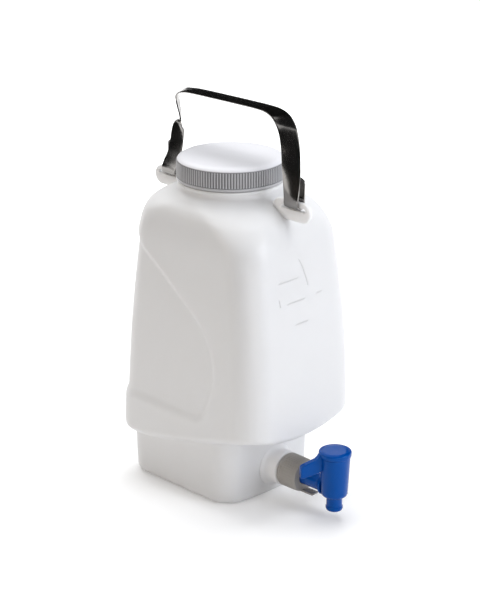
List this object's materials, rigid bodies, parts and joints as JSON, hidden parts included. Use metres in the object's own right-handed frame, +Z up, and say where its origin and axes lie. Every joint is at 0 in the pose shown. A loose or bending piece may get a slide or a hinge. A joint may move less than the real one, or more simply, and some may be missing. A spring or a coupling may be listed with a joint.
{
  "type": "detergent dispenser bottle",
  "caption": "Translucent white dispenser bottle with ribbed screw cap, steel strap handle, overhanging belly and a blue plug tap on a grey ring nut.",
  "frame": {"origin": "on the table plane under the neck's axis", "axes": "+Z up along the neck, the tap points to -Y, the two handle ears stand on the Y axis"},
  "size_m": [0.1482, 0.2515, 0.3806],
  "materials": {
    "milky_polyethylene": "satin milky translucent",
    "white_cap_plastic": "satin",
    "liner_foam": "matte",
    "polished_steel": "polished",
    "seal_rubber": "matte",
    "grey_nut_plastic": "satin",
    "blue_tap_plastic": "gloss"
  },
  "bodies": {
    "bottle": {"bottle_body": "milky_polyethylene", "port_gasket": "seal_rubber", "ring_nut": "grey_nut_plastic", "tap_body": "blue_tap_plastic"},
    "cap_seal": {"cap_liner": "liner_foam"},
    "cap": {"screw_cap": "white_cap_plastic"},
    "handle": {"handle_strap": "polished_steel"},
    "tap_plug": {"tap_knob": "blue_tap_plastic", "plug_o_ring_upper": "seal_rubber", "plug_o_ring_lower": "seal_rubber"}
  },
  "joints": [
    {"name": "cap_lift", "type": "slide", "parent": "bottle", "child": "cap_seal", "axis": [0, 0, 1], "range_m": [0, 0.0242]},
    {"name": "cap_turn", "type": "hinge", "parent": "cap_seal", "child": "cap", "pos_m": [0, 0, 0.32], "axis": [0, 0, 1], "range_deg": [0, 1440]},
    {"name": "handle_swing", "type": "hinge", "parent": "bottle", "child": "handle", "pos_m": [0, 0, 0.297], "axis": [0, 1, 0], "range_deg": [-83, 90]},
    {"name": "tap_turn", "type": "hinge", "parent": "bottle", "child": "tap_plug", "pos_m": [0, -0.135, 0.06], "axis": [0, 0, 1], "range_deg": [-59, 31]}
  ],
  "couplings": [
    {"joint": "cap_lift", "follows": "cap_turn", "m_per_rad": 0.00095493}
  ]
}
